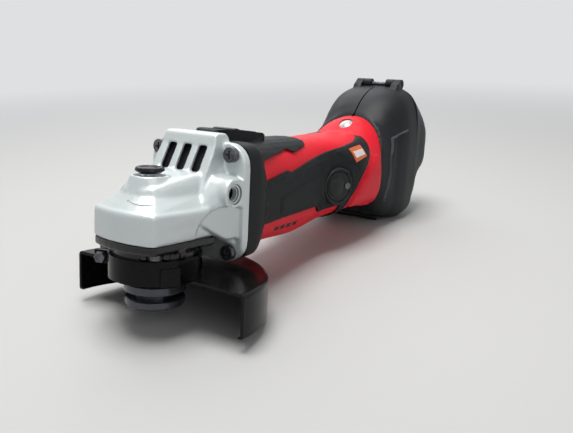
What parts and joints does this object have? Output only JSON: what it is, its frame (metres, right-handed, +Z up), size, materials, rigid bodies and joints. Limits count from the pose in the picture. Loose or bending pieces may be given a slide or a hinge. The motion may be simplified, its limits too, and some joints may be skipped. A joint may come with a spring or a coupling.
{
  "type": "angle grinder",
  "caption": "Cordless angle grinder with a half-round wheel guard, die-cast gear case, gripped motor housing and a battery case behind a hinged cover.",
  "frame": {"origin": "on the spindle axis at the wheel seat, the lower face of the inner flange", "axes": "+X along the tool to its tail, +Z up along the spindle away from the wheel, -Y to the operator's left"},
  "size_m": [0.2934, 0.118, 0.1281],
  "materials": {
    "cast_case": "satin silver lacquer on die-cast aluminium",
    "black_casting": "black lacquer",
    "guard_black": "gloss black lacquer on sheet steel",
    "oxide_steel": "black oxide, satin",
    "dark_screw": "dark zinc",
    "bright_steel": "ground",
    "bearing_steel": "polished",
    "core_steel": "laminated steel",
    "copper": "copper",
    "bronze": "bronze",
    "red_plastic": "satin red nylon",
    "grip_rubber": "matte elastomer",
    "black_plastic": "fine texture",
    "gloss_black": "gloss",
    "felt": "felt",
    "carbon": "carbon",
    "board_green": "printed circuit board",
    "clear_lens": "clear moulded lens",
    "led_white": "LED"
  },
  "bodies": {
    "tool_body": {"gear_case": "cast_case", "gear_case_screws": "dark_screw", "bearing_box": "black_casting", "bearing_box_screws": "dark_screw", "spindle_bearing": "bearing_steel", "needle_bush": "bronze", "dust_seal": "felt", "lock_spring": "bright_steel", "motor_housing": "red_plastic", "grip_overmould": "grip_rubber", "front_bearing": "bearing_steel", "rear_bearing": "bearing_steel", "bearing_retainer": "bright_steel", "fan_baffle": "black_plastic", "motor_can": "bright_steel", "field_magnets": "core_steel", "brush_holders": "bronze", "carbon_brushes": "carbon", "brush_springs": "bronze", "brush_cover_left": "black_plastic", "brush_cover_right": "black_plastic", "brush_cover_screws": "bright_steel", "switch_body": "black_plastic", "controller_board": "board_green", "lamp_lens": "clear_lens", "lamp_led": "led_white", "rear_case_left": "black_plastic", "rear_case_right": "black_plastic", "rear_case_screws": "dark_screw", "terminal_block": "black_plastic", "battery_pack": "black_plastic", "cover_hinge_pin": "bright_steel", "latch_pin": "bright_steel"},
    "rotor": {"rotor_shaft": "bright_steel", "pinion": "core_steel", "cooling_fan": "black_plastic", "armature_core": "core_steel", "armature_windings": "copper", "commutator": "copper"},
    "spindle_set": {"spindle": "bright_steel", "crown_gear": "core_steel", "gear_ring": "oxide_steel", "inner_flange": "oxide_steel", "lock_nut": "oxide_steel"},
    "guard": {"wheel_guard": "guard_black", "guard_clamp_screw": "dark_screw", "guard_clamp_nut": "dark_screw"},
    "spindle_lock": {"lock_button": "gloss_black", "lock_pin": "bright_steel"},
    "slide_switch": {"switch_knob": "gloss_black", "switch_bar": "black_plastic"},
    "rear_cover": {"battery_cover": "black_plastic"},
    "latch": {"cover_latch": "black_plastic"}
  },
  "joints": [
    {"name": "rotor_spin", "type": "hinge", "parent": "tool_body", "child": "rotor", "pos_m": [0.09, 0, 0.044], "axis": [1, 0, 0], "continuous": true},
    {"name": "spindle_spin", "type": "hinge", "parent": "tool_body", "child": "spindle_set", "pos_m": [0, 0, 0], "axis": [0, 0, 1], "continuous": true},
    {"name": "guard_turn", "type": "hinge", "parent": "tool_body", "child": "guard", "pos_m": [0, 0, 0], "axis": [0, 0, 1], "range_deg": [-40, 140]},
    {"name": "lock_press", "type": "slide", "parent": "tool_body", "child": "spindle_lock", "axis": [0, 0, -1], "range_m": [0, 0.0035], "stiffness_N_per_m": 900, "springref_m": -0.002, "deforming": ["lock_spring"]},
    {"name": "switch_slide", "type": "slide", "parent": "tool_body", "child": "slide_switch", "axis": [-1, 0, 0], "range_m": [0, 0.0065]},
    {"name": "cover_open", "type": "hinge", "parent": "tool_body", "child": "rear_cover", "pos_m": [0.245, 0, 0.111], "axis": [0, -1, 0], "range_deg": [0, 110]},
    {"name": "latch_open", "type": "hinge", "parent": "tool_body", "child": "latch", "pos_m": [0.217, 0, 0.01], "axis": [0, 1, 0], "range_deg": [0, 60]}
  ],
  "couplings": [
    {"joint": "spindle_spin", "follows": "rotor_spin", "ratio": 0.28947}
  ]
}
